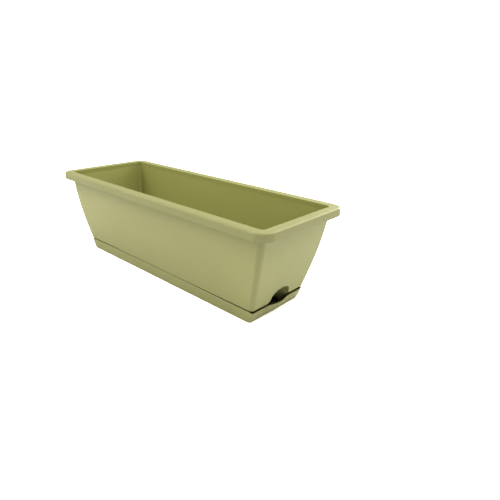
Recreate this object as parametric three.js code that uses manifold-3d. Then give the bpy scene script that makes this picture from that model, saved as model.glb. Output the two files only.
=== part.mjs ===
// Balcony planter: an open trough with a turned-down rim, standing in its own drip tray.
// Both pieces are injection-moulded polypropylene shells. Sizes are millimetres, Z is up, X runs along
// the trough, and the origin is the middle of the tray's underside.

import * as THREE from 'three';
import { mergeVertices } from 'three/addons/utils/BufferGeometryUtils.js';
import Module from 'manifold-3d';

const wasm = await Module();
wasm.setup();

const degrees = Math.PI / 180;

// Overall size, over the rim and down to the tray's underside.
const overallLength = 500;
const overallWidth = 190;
const overallHeight = 150;

// Rim: a flat band turned outwards from the wall, with a skirt hanging from its outer edge.
const rimBand = 16;
const rimSkirtHeight = 12.2;
const rimSheet = 2.3;
const rimCornerRadius = 21;
const rimTopRounding = 2.6;
const rimMouthRounding = 0.8;
const rimFootRounding = 0.7;
const rimRibSheet = 1.6;
const rimRibRise = 3;
const rimRibPitch = 180;
const rimRibs = 2;

// Wall: a straight taper from the seam up to the bend, then a slow curve that stands it more upright.
const wallSheet = 2.6;
const throatSheet = 2.8;
const throatDepth = 9;
const wallTopCornerRadius = 9.5;
const wallFootCornerRadius = 7;
const endTaper = 16.7 * degrees;
const sideTaper = 12.7 * degrees;
const bendHeight = 50;
const bendRadius = 606;

// Floor of the trough, and the plinth below it that stands inside the tray.
const seamHeight = 20.7;
const floorSheet = 2.4;
const floorFillet = 5;
const plinthSheet = 2.2;
const plinthClearance = 0.8;
const restGap = 0.3;

// Hollow feet: cups in the floor that reach down to the tray, so that soil in them draws water up.
const footTopRadius = 17;
const footBottomRadius = 14;
const footSheet = 2.2;
const feetAlong = 4;
const feetAcross = 2;
const footPitchAlong = 100;
const footPitchAcross = 60;
const drainHoleRadius = 4;

// Filling recess in the foot of each end wall, where water is poured into the tray.
const recessHalfWidth = 20.3;
const recessSpring = 27;
const recessRise = 12.2;
const recessDepth = 17;
const recessEdgeRounding = 1;
const recessFootFlare = 8;
const recessFlareDepth = 6;
const recessDomeTurn = 80 * degrees;
const passageHalfWidth = 19.5;
const passageRise = 12.5;

// Drip tray.
const traySheet = 2.2;
const trayFloorSheet = 2.4;
const trayCornerRadius = 6;
const trayEndTaper = 17.4 * degrees;
const traySideTaper = 10 * degrees;
const trayFootRounding = 1.2;
const trayInnerFillet = 2;
const traySeamGap = 0.5;
const trayCornerDrop = 1.2;
const trayEndDrop = 3.2;
const trayLipRounding = 0.5;
const spoutHalfSpan = 29;
const spoutBulge = 4.2;
const spoutDip = 0.5;
const trayRibHeight = 2.5;
const trayRibSheet = 2;
const trayRibReach = 50;
const gateMarkRadius = 5;
const gateMarkDepth = 0.5;
const gateMarks = 2;
const gateMarkPitch = 200;

// How finely curves are divided, how sharp a rounded corner may get, how close two points must be
// to be one, and how far a cutting shape runs past what it cuts.
const cornerSteps = 8;
const bendSteps = 6;
const roundingSteps = 4;
const archSteps = 14;
const domeSteps = 8;
const spoutSteps = 14;
const traySideSteps = 8;
const roundHoleSteps = 12;
const footSteps = 20;
const passageSteps = 28;
const sharpestCorner = 1;
const weldDistance = 1e-5;
const cutMargin = 2;

// Heights and reaches that follow from the sizes above.
const plinthInset = traySheet + plinthClearance;
const plinthFoot = trayFloorSheet + restGap;
const plinthFootInset = plinthInset + trayInnerFillet;
const floorTop = seamHeight + floorSheet;
const throatFoot = overallHeight - throatDepth;
const bandUnderside = overallHeight - rimSheet;
const skirtFoot = overallHeight - rimSkirtHeight;
const mouthHalfLength = overallLength / 2 - rimBand;
const mouthHalfWidth = overallWidth / 2 - rimBand;
const mouthCornerRadius = wallTopCornerRadius - throatSheet;
const seamLip = seamHeight - traySeamGap;
const footSlope = (footTopRadius - footBottomRadius) / (seamHeight - plinthFoot);

// How far a wall has leaned in at a height, measured from where it meets the rim.
function leanIn(taper, height) {
  const bendAtTop = overallHeight - bendHeight;
  const bendHere = Math.max(height - bendHeight, 0);
  return Math.tan(taper) * (overallHeight - height) - (bendAtTop ** 2 - bendHere ** 2) / (2 * bendRadius);
}

// Radius of the wall's corners at a height, smaller towards the foot.
function cornerRadiusAt(height) {
  const share = (height - seamHeight) / (overallHeight - seamHeight);
  return wallFootCornerRadius + share * (wallTopCornerRadius - wallFootCornerRadius);
}

// Half sizes of the wall's outer face at a height.
function wallAt(height) {
  return {
    halfLength: mouthHalfLength + throatSheet - leanIn(endTaper, height),
    halfWidth: mouthHalfWidth + throatSheet - leanIn(sideTaper, height),
    radius: cornerRadiusAt(height),
  };
}

// Half sizes of the tray's outer face at a height. It meets the wall's face at the seam.
function trayAt(height) {
  const seam = wallAt(seamHeight);
  return {
    halfLength: seam.halfLength - Math.tan(trayEndTaper) * (seamHeight - height),
    halfWidth: seam.halfWidth - Math.tan(traySideTaper) * (seamHeight - height),
    radius: trayCornerRadius,
  };
}

// A smaller outline, drawn in by the same distance all round.
function inset(outline, distance) {
  return {
    halfLength: outline.halfLength - distance,
    halfWidth: outline.halfWidth - distance,
    radius: Math.max(outline.radius - distance, sharpestCorner),
  };
}

// The points of a rounded rectangle at a height, counter-clockwise seen from above. Extra points can
// be asked for along both ends and along both sides, at the given places from the middle.
function ring(outline, height, endPlaces = [], sidePlaces = []) {
  const { halfLength, halfWidth, radius } = outline;
  const points = [];
  const corners = [[1, -1], [1, 1], [-1, 1], [-1, -1]];
  corners.forEach(([alongSign, acrossSign], corner) => {
    const start = (corner - 1) * Math.PI / 2;
    for (let step = 0; step <= cornerSteps; step += 1) {
      const angle = start + (step / cornerSteps) * Math.PI / 2;
      const x = alongSign * (halfLength - radius) + radius * Math.cos(angle);
      const y = acrossSign * (halfWidth - radius) + radius * Math.sin(angle);
      points.push(new THREE.Vector3(x, y, height));
    }
    if (corner % 2 === 0) {
      const ordered = corner === 0 ? endPlaces : [...endPlaces].reverse();
      ordered.forEach((place) => points.push(new THREE.Vector3(alongSign * halfLength, place, height)));
    } else {
      const ordered = corner === 3 ? sidePlaces : [...sidePlaces].reverse();
      ordered.forEach((place) => points.push(new THREE.Vector3(place, acrossSign * halfWidth, height)));
    }
  });
  return points;
}

// A closed body through a row of point loops that all have the same number of points. Its first and
// last loops are closed by fans.
function loft(loops) {
  const count = loops[0].length;
  const vertices = [];
  const triangles = [];
  loops.forEach((loop) => loop.forEach((point) => vertices.push(point.x, point.y, point.z)));
  for (let row = 0; row + 1 < loops.length; row += 1) {
    for (let column = 0; column < count; column += 1) {
      const next = (column + 1) % count;
      const low = row * count;
      const high = low + count;
      triangles.push(low + column, low + next, high + next);
      triangles.push(low + column, high + next, high + column);
    }
  }
  const closeWithFan = (loop, first, facesBack) => {
    const middle = new THREE.Vector3();
    loop.forEach((point) => middle.addScaledVector(point, 1 / count));
    const hub = vertices.length / 3;
    vertices.push(middle.x, middle.y, middle.z);
    for (let column = 0; column < count; column += 1) {
      const here = first + column;
      const next = first + (column + 1) % count;
      triangles.push(hub, facesBack ? next : here, facesBack ? here : next);
    }
  };
  closeWithFan(loops[0], 0, true);
  closeWithFan(loops[loops.length - 1], (loops.length - 1) * count, false);
  const geometry = new THREE.BufferGeometry();
  geometry.setAttribute('position', new THREE.Float32BufferAttribute(vertices, 3));
  geometry.setIndex(triangles);
  return geometry;
}

// A solid for joining and cutting, from a closed geometry.
function solidFrom(geometry) {
  const bare = geometry.clone();
  bare.deleteAttribute('normal');
  bare.deleteAttribute('uv');
  const merged = mergeVertices(bare, weldDistance);
  return new wasm.Manifold(new wasm.Mesh({
    numProp: 3,
    vertProperties: new Float32Array(merged.attributes.position.array),
    triVerts: new Uint32Array(merged.index.array),
  }));
}

// The geometry of a finished solid.
function geometryFrom(solid) {
  const mesh = solid.getMesh();
  const geometry = new THREE.BufferGeometry();
  geometry.setAttribute('position', new THREE.Float32BufferAttribute(mesh.vertProperties, 3));
  geometry.setIndex(new THREE.Uint32BufferAttribute(mesh.triVerts, 1));
  geometry.computeVertexNormals();
  return geometry;
}

// An upright round bar or cone between two heights.
function uprightRound(x, y, low, high, lowRadius, highRadius, steps) {
  const geometry = new THREE.CylinderGeometry(highRadius, lowRadius, high - low, steps);
  geometry.rotateX(Math.PI / 2);
  geometry.translate(x, y, (low + high) / 2);
  return solidFrom(geometry);
}

// A square-edged block between two corners.
function block(low, high) {
  const geometry = new THREE.BoxGeometry(high.x - low.x, high.y - low.y, high.z - low.z);
  geometry.translate((low.x + high.x) / 2, (low.y + high.y) / 2, (low.z + high.z) / 2);
  return solidFrom(geometry);
}

// Evenly spaced places on both sides of the middle.
function evenPlaces(count, pitch) {
  return Array.from({ length: count }, (_, index) => (index - (count - 1) / 2) * pitch);
}

// Loops for a quarter-round edge. The round turns from one face to the other around a centre that
// lies "radius" inside both, and angle 0 points outwards, 90 degrees points up.
function roundedEdge(face, height, radius, fromAngle, toAngle) {
  const loops = [];
  for (let step = 0; step <= roundingSteps; step += 1) {
    const angle = fromAngle + (step / roundingSteps) * (toAngle - fromAngle);
    const outward = radius * Math.cos(angle);
    const upward = radius * Math.sin(angle);
    loops.push(ring(inset(face, radius - outward), height + upward));
  }
  return loops;
}

// Heights of the loops up the wall: one at the foot, then closer ones round the bend.
function wallHeights(from, to) {
  const heights = [from];
  for (let step = 0; step <= bendSteps; step += 1) {
    heights.push(bendHeight + (step / bendSteps) * (to - bendHeight));
  }
  return heights;
}

// The trough's shell, swept round its rounded outline from the underside of the floor, down and up
// the plinth, up the wall, round the rim, and down the inside to the top of the floor.
function troughShell() {
  const rim = { halfLength: overallLength / 2, halfWidth: overallWidth / 2, radius: rimCornerRadius };
  const mouth = { halfLength: mouthHalfLength, halfWidth: mouthHalfWidth, radius: mouthCornerRadius };
  const plinthTop = inset(wallAt(seamHeight), plinthInset);
  const plinthLow = inset(trayAt(plinthFoot), plinthFootInset);
  const innerWall = (height) => inset(wallAt(height), wallSheet);
  const skirtInside = inset(rim, rimSheet);
  const loops = [
    ring(inset(plinthTop, plinthSheet), seamHeight),
    ring(inset(plinthLow, plinthSheet), plinthFoot),
    ring(plinthLow, plinthFoot),
    ring(plinthTop, seamHeight),
  ];
  wallHeights(seamHeight, bandUnderside).forEach((height) => loops.push(ring(wallAt(height), height)));
  loops.push(ring(skirtInside, bandUnderside));
  loops.push(ring(skirtInside, skirtFoot));
  loops.push(...roundedEdge(rim, skirtFoot + rimFootRounding, rimFootRounding, -90 * degrees, 0));
  loops.push(...roundedEdge(rim, overallHeight - rimTopRounding, rimTopRounding, 0, 90 * degrees));
  for (let step = 0; step <= roundingSteps; step += 1) {
    const angle = (step / roundingSteps) * Math.PI / 2;
    const outward = rimMouthRounding * (1 - Math.sin(angle));
    const height = overallHeight - rimMouthRounding * (1 - Math.cos(angle));
    loops.push(ring(inset(mouth, -outward), height));
  }
  loops.push(ring(mouth, throatFoot));
  wallHeights(floorTop + floorFillet, throatFoot).reverse()
    .forEach((height) => loops.push(ring(innerWall(height), height)));
  const filletFace = innerWall(floorTop);
  for (let step = 1; step <= roundingSteps; step += 1) {
    const angle = (step / roundingSteps) * Math.PI / 2;
    const drawnIn = floorFillet * (1 - Math.cos(angle));
    const height = floorTop + floorFillet * (1 - Math.sin(angle));
    loops.push(ring(inset(filletFace, drawnIn), height));
  }
  return solidFrom(loft(loops));
}

// Everything inside the trough's outer faces, from the plinth's foot up to the bend.
function troughEnvelope() {
  const plinthTop = inset(wallAt(seamHeight), plinthInset);
  const plinthLow = inset(trayAt(plinthFoot), plinthFootInset);
  return solidFrom(loft([
    ring(plinthLow, plinthFoot),
    ring(plinthTop, seamHeight),
    ring(wallAt(seamHeight), seamHeight),
    ring(wallAt(bendHeight), bendHeight),
  ]));
}

// One arched loop of the filling recess, a set depth behind the end wall's outer face. "scale" draws
// the arch in towards the back of the recess, "grow" widens it, and "flare" spreads its foot.
function recessLoop(end, depth, scale, grow, flare) {
  const halfWidth = recessHalfWidth * scale + grow;
  const rise = recessRise * scale + grow;
  const bottom = -cutMargin;
  const points = [[halfWidth + flare, bottom], [halfWidth + flare, seamHeight]];
  for (let step = 1; step <= roundingSteps; step += 1) {
    const angle = (step / roundingSteps) * Math.PI / 2;
    const outward = flare * (1 - Math.sin(angle));
    const upward = (recessSpring - seamHeight) * (1 - Math.cos(angle));
    points.push([halfWidth + outward, seamHeight + upward]);
  }
  for (let step = 1; step < archSteps; step += 1) {
    const angle = (step / archSteps) * Math.PI;
    points.push([halfWidth * Math.cos(angle), recessSpring + rise * Math.sin(angle)]);
  }
  const mirrored = points.slice(0, 2 + roundingSteps).reverse();
  mirrored.forEach(([across, height]) => points.push([-across, height]));
  return points.map(([across, height]) => (
    new THREE.Vector3(end * (wallAt(height).halfLength - depth), end * across, height)
  ));
}

// How far the foot of the recess still spreads at a depth behind the end wall's outer face.
function flareAt(depth) {
  const share = THREE.MathUtils.clamp(depth / recessFlareDepth, 0, 1);
  return recessFootFlare * (1 - share);
}

// The filling recess as a solid. Its mouth has a small rounding, its foot spreads like a bell, and its
// back is a quarter dome. With a sheet thickness it is that much larger all round.
function recessForm(end, sheet) {
  const loops = [];
  const mouthGrow = recessEdgeRounding + sheet;
  loops.push(recessLoop(end, -cutMargin, 1, mouthGrow, recessFootFlare));
  for (let step = 0; step <= roundingSteps; step += 1) {
    const angle = (step / roundingSteps) * Math.PI / 2;
    const depth = recessEdgeRounding * (1 - Math.cos(angle));
    const rolledOut = recessEdgeRounding * (1 - Math.sin(angle));
    loops.push(recessLoop(end, depth, 1, rolledOut + sheet, flareAt(depth - sheet)));
  }
  const domeDepth = recessDepth - recessEdgeRounding + sheet;
  for (let step = 1; step <= domeSteps; step += 1) {
    const angle = (step / domeSteps) * recessDomeTurn;
    const depth = recessEdgeRounding + domeDepth * Math.sin(angle);
    const flare = flareAt(depth - sheet);
    loops.push(recessLoop(end, depth, Math.cos(angle), sheet * Math.cos(angle), flare));
  }
  return solidFrom(loft(loops.reverse()));
}

// A low arched water passage through the foot of the recess, into the tray under the floor.
function waterPassage(end) {
  const plinth = trayAt(plinthFoot).halfLength;
  const length = recessDepth + plinthSheet + plinthInset + recessEdgeRounding;
  const geometry = new THREE.CylinderGeometry(1, 1, length, passageSteps);
  geometry.rotateZ(Math.PI / 2);
  geometry.scale(1, passageHalfWidth, passageRise);
  geometry.translate(end * (plinth - length / 2), 0, plinthFoot);
  return solidFrom(geometry);
}

// Short ribs in the hollow of the rim, between the wall and the skirt of each long side.
function rimRibBlocks() {
  const low = skirtFoot + rimRibRise;
  const high = bandUnderside + rimSheet / 2;
  const wallSide = wallAt(low).halfWidth - wallSheet / 2;
  const skirtSide = overallWidth / 2 - rimSheet / 2;
  return evenPlaces(rimRibs, rimRibPitch).flatMap((x) => [-1, 1].map((side) => {
    const nearest = Math.min(side * wallSide, side * skirtSide);
    const farthest = Math.max(side * wallSide, side * skirtSide);
    return block(
      new THREE.Vector3(x - rimRibSheet / 2, nearest, low),
      new THREE.Vector3(x + rimRibSheet / 2, farthest, high),
    );
  }));
}

// Places in rows along and across, evenly spaced around the middle.
function grid(along, pitchAlong, across, pitchAcross) {
  return evenPlaces(along, pitchAlong).flatMap((x) => (
    evenPlaces(across, pitchAcross).map((y) => [x, y])
  ));
}

// Places of the drain holes in the floor: between the feet of a row, and between the rows.
function drainPlaces() {
  const betweenFeet = grid(feetAlong - 1, footPitchAlong, feetAcross, footPitchAcross);
  const betweenRows = grid(feetAlong, footPitchAlong, feetAcross - 1, footPitchAcross);
  return [...betweenFeet, ...betweenRows];
}

// A hollow foot as a solid cone that reaches up into the floor.
function footCone(x, y) {
  const high = seamHeight + floorSheet / 2;
  const highRadius = footTopRadius + footSlope * (high - seamHeight);
  return uprightRound(x, y, plinthFoot, high, footBottomRadius, highRadius, footSteps);
}

// The hollow of a foot, open at the top of the floor.
function footHollow(x, y) {
  const low = plinthFoot + footSheet;
  const high = floorTop + cutMargin;
  const lowRadius = footBottomRadius - footSheet + footSlope * (low - plinthFoot);
  const highRadius = footTopRadius - footSheet + footSlope * (high - seamHeight);
  return uprightRound(x, y, low, high, lowRadius, highRadius, footSteps);
}

// A drain hole through whatever lies between two heights.
function drainHole(x, y, low, high) {
  const bottom = low - cutMargin;
  const top = high + cutMargin;
  return uprightRound(x, y, bottom, top, drainHoleRadius, drainHoleRadius, roundHoleSteps);
}

// The trough: shell, rim ribs, filling recesses at both ends, hollow feet and drain holes.
function planterBody() {
  let body = troughShell();
  rimRibBlocks().forEach((rib) => {
    body = body.add(rib);
  });
  const envelope = troughEnvelope();
  for (const end of [-1, 1]) {
    body = body.add(recessForm(end, wallSheet).intersect(envelope));
    body = body.subtract(recessForm(end, 0));
    body = body.subtract(waterPassage(end));
  }
  grid(feetAlong, footPitchAlong, feetAcross, footPitchAcross).forEach(([x, y]) => {
    body = body.add(footCone(x, y));
    body = body.subtract(footHollow(x, y));
    body = body.subtract(drainHole(x, y, plinthFoot, plinthFoot + footSheet));
  });
  drainPlaces().forEach(([x, y]) => {
    body = body.subtract(drainHole(x, y, seamHeight, floorTop));
  });
  return body;
}

// Share of the spout at a place across the end: 1 in the middle, easing to 0 at its edges.
function spoutShare(across) {
  if (Math.abs(across) >= spoutHalfSpan) {
    return 0;
  }
  return Math.cos(Math.PI * across / (2 * spoutHalfSpan)) ** 2;
}

// One loop of the tray wall. "rise" runs from 0 at the floor to 1 at the lip. The lip falls a little
// from the middle of the sides to the corners, lies lower on the ends, and stands out at the spouts.
function trayLoop(outline, height, rise) {
  const endPlaces = evenPlaces(spoutSteps + 1, 2 * spoutHalfSpan / spoutSteps);
  const sideReach = trayAt(0).halfLength - trayCornerRadius;
  const sidePlaces = evenPlaces(traySideSteps - 1, 2 * sideReach / traySideSteps);
  return ring(outline, height, endPlaces, sidePlaces).map((point) => {
    const intoCorner = Math.abs(point.x) - (outline.halfLength - outline.radius);
    const endShare = THREE.MathUtils.smoothstep(intoCorner, 0, outline.radius);
    const sideDrop = trayCornerDrop * (point.x / outline.halfLength) ** 2;
    const endDrop = (trayEndDrop - trayCornerDrop) * endShare;
    const spout = spoutShare(point.y);
    const drop = rise * (sideDrop + endDrop + spoutDip * spout);
    const bulge = Math.sign(point.x) * rise * spoutBulge * spout;
    return new THREE.Vector3(point.x + bulge, point.y, point.z - drop);
  });
}

// The tray's shell, swept from its underside up the outer face, over the lip and down to its floor.
function trayShell() {
  const inner = (height) => inset(trayAt(height), traySheet);
  const riseAt = (height) => (height - trayFloorSheet) / (seamLip - trayFloorSheet);
  const loops = [];
  for (let step = 0; step <= roundingSteps; step += 1) {
    const angle = (step / roundingSteps) * Math.PI / 2;
    const drawnIn = trayFootRounding * (1 - Math.sin(angle));
    const height = trayFootRounding * (1 - Math.cos(angle));
    loops.push(trayLoop(inset(trayAt(0), drawnIn), height, 0));
  }
  loops.push(trayLoop(trayAt(trayFloorSheet), trayFloorSheet, 0));
  const roundFoot = seamLip - trayLipRounding;
  loops.push(trayLoop(trayAt(roundFoot), roundFoot, riseAt(roundFoot)));
  loops.push(trayLoop(inset(trayAt(seamLip), trayLipRounding), seamLip, 1));
  loops.push(trayLoop(inset(trayAt(seamLip), traySheet - trayLipRounding), seamLip, 1));
  loops.push(trayLoop(inner(roundFoot), roundFoot, riseAt(roundFoot)));
  const filletTop = trayFloorSheet + trayInnerFillet;
  loops.push(trayLoop(inner(filletTop), filletTop, riseAt(filletTop)));
  for (let step = 1; step <= roundingSteps; step += 1) {
    const angle = (step / roundingSteps) * Math.PI / 2;
    const drawnIn = trayInnerFillet * (1 - Math.cos(angle));
    const height = trayFloorSheet + trayInnerFillet * (1 - Math.sin(angle));
    loops.push(trayLoop(inset(inner(filletTop), drawnIn), height, riseAt(height)));
  }
  return solidFrom(loft(loops));
}

// The drip tray: shell, low ribs across its floor between the feet, and two gate marks underneath.
function dripTray() {
  let tray = trayShell();
  evenPlaces(feetAlong - 1, footPitchAlong).forEach((x) => {
    const low = new THREE.Vector3(x - trayRibSheet / 2, -trayRibReach, trayFloorSheet / 2);
    const high = new THREE.Vector3(x + trayRibSheet / 2, trayRibReach, trayFloorSheet + trayRibHeight);
    tray = tray.add(block(low, high));
  });
  evenPlaces(gateMarks, gateMarkPitch).forEach((x) => {
    const radius = gateMarkRadius;
    const mark = uprightRound(x, 0, -cutMargin, gateMarkDepth, radius, radius, roundHoleSteps);
    tray = tray.subtract(mark);
  });
  return tray;
}

// Satin olive-green polypropylene, as both pieces are moulded in.
function greenPolypropylene() {
  return new THREE.MeshStandardMaterial({ color: 0xadab74, roughness: 0.55, metalness: 0 });
}

function namedMesh(name, solid) {
  const mesh = new THREE.Mesh(geometryFrom(solid), greenPolypropylene());
  mesh.name = name;
  return mesh;
}

const group = new THREE.Group();
group.add(namedMesh('planter_body', planterBody()));
group.add(namedMesh('drip_tray', dripTray()));

export default group;
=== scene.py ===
# Balcony planter: a trough with a turned-down rim, in its drip tray on a plain studio floor.
# Lengths are metres, Z is up, X runs along the trough, and the origin is under the tray's middle.

import math
from collections import namedtuple

import bmesh
import bpy
from mathutils import Matrix, Vector


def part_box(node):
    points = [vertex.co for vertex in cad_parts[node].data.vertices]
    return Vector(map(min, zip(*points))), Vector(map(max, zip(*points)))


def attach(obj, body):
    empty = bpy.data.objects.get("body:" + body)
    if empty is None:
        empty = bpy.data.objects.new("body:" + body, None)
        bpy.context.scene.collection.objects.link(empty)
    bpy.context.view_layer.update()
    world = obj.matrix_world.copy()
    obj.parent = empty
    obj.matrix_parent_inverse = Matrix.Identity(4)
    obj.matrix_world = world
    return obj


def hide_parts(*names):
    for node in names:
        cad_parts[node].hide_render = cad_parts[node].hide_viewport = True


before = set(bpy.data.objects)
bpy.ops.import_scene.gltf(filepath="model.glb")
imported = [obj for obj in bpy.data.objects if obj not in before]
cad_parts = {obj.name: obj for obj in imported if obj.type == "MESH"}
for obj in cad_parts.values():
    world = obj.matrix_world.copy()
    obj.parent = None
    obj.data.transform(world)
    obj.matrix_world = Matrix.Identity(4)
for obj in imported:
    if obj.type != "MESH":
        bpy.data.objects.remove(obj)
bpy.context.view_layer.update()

bl_info = {
    "name": "Balcony planter",
    "version": (1, 0, 0),
    "blender": (4, 5, 0),
    "location": "3D View > Sidebar > Planter",
    "description": "Models a moulded balcony planter, its drip tray and a plain studio",
    "category": "Object",
}

MM = 0.001
CUT_MARGIN = 2 * MM
# How close two places are taken as one: in a ring that was just drawn, and on a finished wall.
TOUCH = 0.01 * MM
NEAR = 0.1 * MM
# Heights between which the fitted painted shade sets in, on the skirt and on the rim's top.
SKIRT_SHADE_FADE = (136 * MM, 138.5 * MM)
RIM_TOP_SHADE_FADE = (146.5 * MM, 149 * MM)
# Name of the note on the mesh that says where the wall's corners get painted shade.
CORNER_SHADE_NOTE = "corner"
# The corner note stops this far below the rim's top, and reaches this far past the end walls.
NOTE_DROP = 3 * MM
NOTE_REACH = 1 * MM

BODY_LOW, BODY_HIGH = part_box("planter_body")

Outline = namedtuple("Outline", "half_length half_width radius")


def length(label, description, default):
    """A length that a user can change."""
    return bpy.props.FloatProperty(
        name=label, description=description, default=default, min=0, precision=4,
        unit="LENGTH", subtype="DISTANCE",
    )


def angle(label, description, degrees):
    """An angle that a user can change."""
    return bpy.props.FloatProperty(
        name=label, description=description, default=math.radians(degrees), subtype="ANGLE",
        unit="ROTATION",
    )


def count(label, description, default):
    """A whole number that a user can change."""
    return bpy.props.IntProperty(name=label, description=description, default=default, min=1)


def fraction(label, description, default):
    """A share from 0 to 1 that a user can change."""
    return bpy.props.FloatProperty(
        name=label, description=description, default=default, min=0, max=1, subtype="FACTOR",
    )


def linear(code):
    """The linear colour, with alpha, of an sRGB hex value."""
    shares = [((code >> shift) & 255) / 255 for shift in (16, 8, 0)]
    bright = [s / 12.92 if s <= 0.04045 else ((s + 0.055) / 1.055) ** 2.4 for s in shares]
    return (*bright, 1)


def colour(label, description, code):
    """A colour that a user can change."""
    return bpy.props.FloatVectorProperty(
        name=label, description=description, default=linear(code), size=4, min=0, max=1,
        subtype="COLOR",
    )


class PlanterSizes(bpy.types.PropertyGroup):
    """Sizes of the trough and of the tray."""

    overall_length: length("Length", "Over the rim, end to end", BODY_HIGH.x - BODY_LOW.x)
    overall_width: length("Width", "Over the rim, front to back", BODY_HIGH.y - BODY_LOW.y)
    overall_height: length("Height", "From the floor to the rim's top", BODY_HIGH.z)
    rim_band: length("Rim width", "Width of the rim's flat top", 16 * MM)
    rim_skirt_height: length("Rim skirt", "Height of the rim's outer skirt", 12.2 * MM)
    rim_sheet: length("Rim sheet", "Thickness of the rim", 2.3 * MM)
    rim_corner: length("Rim corner", "Radius of the rim's corners", 21 * MM)
    rim_rounding: length("Rim rounding", "Rounding of the rim's top edge", 2.6 * MM)
    rim_mouth_rounding: length("Mouth rounding", "Rounding of the mouth's edge", 0.8 * MM)
    rim_foot_rounding: length("Skirt rounding", "Rounding of the skirt's lower edge", 0.7 * MM)
    rim_rib_sheet: length("Rim rib", "Thickness of the ribs under the rim", 1.6 * MM)
    rim_rib_rise: length("Rim rib rise", "How far the ribs stay above the skirt's edge", 3 * MM)
    rim_rib_pitch: length("Rim rib pitch", "Distance between the ribs under the rim", 180 * MM)
    wall_sheet: length("Wall", "Thickness of the wall", 2.6 * MM)
    throat_sheet: length("Throat", "Thickness of the wall in the throat", 2.8 * MM)
    throat_depth: length("Throat depth", "Height of the step below the mouth", 9 * MM)
    wall_top_corner: length("Wall corner, top", "Radius of the corners at the rim", 9.5 * MM)
    wall_foot_corner: length("Wall corner, foot", "Radius of the corners at the seam", 7 * MM)
    end_taper: angle("End taper", "How far the end walls lean", 16.7)
    side_taper: angle("Side taper", "How far the long walls lean", 12.7)
    bend_height: length("Bend height", "Where the wall starts to bow upright", 50 * MM)
    bend_radius: length("Bend radius", "Radius of the wall's bow", 606 * MM)
    seam_height: length("Seam", "Height of the wall's lower edge", 20.7 * MM)
    floor_sheet: length("Floor", "Thickness of the trough's floor", 2.4 * MM)
    floor_fillet: length("Floor fillet", "Rounding between floor and wall", 5 * MM)
    plinth_sheet: length("Plinth", "Thickness of the plinth", 2.2 * MM)
    plinth_clearance: length("Plinth clearance", "Gap between plinth and tray wall", 0.8 * MM)
    rest_gap: length("Rest gap", "Gap between the feet and the tray's floor", 0.3 * MM)
    foot_top_radius: length("Foot top", "Radius of a hollow foot at the floor", 17 * MM)
    foot_low_radius: length("Foot bottom", "Radius of a hollow foot at its bottom", 14 * MM)
    foot_sheet: length("Foot sheet", "Thickness of a hollow foot", 2.2 * MM)
    foot_pitch_along: length("Foot pitch", "Distance between feet along the trough", 100 * MM)
    foot_pitch_across: length("Foot rows", "Distance between the rows of feet", 60 * MM)
    drain_radius: length("Drain hole", "Radius of a drain hole", 4 * MM)
    recess_half_width: length("Recess half width", "Half width of the filling recess", 20.3 * MM)
    recess_spring: length("Recess spring", "Height where the recess's arch begins", 27 * MM)
    recess_rise: length("Recess rise", "Rise of the recess's arch", 12.2 * MM)
    recess_depth: length("Recess depth", "Depth of the filling recess", 17 * MM)
    recess_roll: length("Recess roll", "Rounding of the recess's edge", 1 * MM)
    recess_flare: length("Recess flare", "Spread of the recess's foot", 8 * MM)
    recess_flare_depth: length("Flare depth", "Depth at which the foot no longer spreads", 6 * MM)
    recess_dome_turn: angle("Recess dome", "Turn of the recess's domed back", 84)
    passage_half_width: length("Passage half width", "Half width of the water passage", 19.5 * MM)
    passage_rise: length("Passage rise", "Rise of the water passage's arch", 12.5 * MM)
    edge_rounding: length("Edge rounding", "Rounding of the seam's edges", 0.5 * MM)
    tray_sheet: length("Tray wall", "Thickness of the tray's wall", 2.2 * MM)
    tray_floor_sheet: length("Tray floor", "Thickness of the tray's floor", 2.4 * MM)
    tray_corner: length("Tray corner", "Radius of the tray's corners", 6 * MM)
    tray_end_taper: angle("Tray end taper", "How far the tray's ends lean", 17.4)
    tray_side_taper: angle("Tray side taper", "How far the tray's long sides lean", 10)
    tray_foot_rounding: length("Tray foot", "Rounding of the tray's lower edge", 1.2 * MM)
    tray_fillet: length("Tray fillet", "Rounding between the tray's floor and wall", 2 * MM)
    tray_seam_gap: length("Seam gap", "Gap between the tray's lip and the wall", 0.5 * MM)
    tray_corner_drop: length("Corner drop", "How much the lip falls to the corners", 1.2 * MM)
    tray_end_drop: length("End drop", "How much lower the lip lies on the ends", 3.2 * MM)
    spout_half_span: length("Spout half span", "Half width of the pouring lip", 29 * MM)
    spout_bulge: length("Spout bulge", "How far the pouring lip stands out", 4.2 * MM)
    spout_dip: length("Spout dip", "How far the pouring lip dips", 0.5 * MM)
    tray_rib_height: length("Tray rib height", "Height of the tray's cross ribs", 2.5 * MM)
    tray_rib_sheet: length("Tray rib", "Thickness of the tray's cross ribs", 2 * MM)
    tray_rib_reach: length("Tray rib reach", "Half length of the tray's cross ribs", 50 * MM)
    gate_radius: length("Gate mark", "Radius of a gate mark under the tray", 5 * MM)
    gate_depth: length("Gate depth", "Depth of a gate mark", 0.5 * MM)
    gate_pitch: length("Gate pitch", "Distance between the gate marks", 200 * MM)
    feet_along: count("Feet along", "Feet in a row", 4)
    feet_across: count("Feet across", "Rows of feet", 2)
    rim_ribs_along: count("Rim ribs", "Ribs under each long side of the rim", 2)
    gate_marks: count("Gate marks", "Gate marks under the tray", 2)
    corner_steps: count("Corner steps", "Faces round a corner", 16)
    rounding_steps: count("Rounding steps", "Faces round a small edge", 5)
    bend_steps: count("Bend steps", "Faces up the wall's bow", 14)
    leg_steps: count("Leg steps", "Faces down the curve of the recess's foot", 8)
    arch_steps: count("Arch steps", "Faces round half of the recess's circle", 16)
    dome_steps: count("Dome steps", "Faces from the recess's edge to its back", 16)
    end_cuts: count("End cuts", "Cuts across the tray's ends", 27)
    side_cuts: count("Side cuts", "Cuts along the tray's long sides", 15)
    tray_steps: count("Tray steps", "Faces up the tray's wall", 4)


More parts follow.
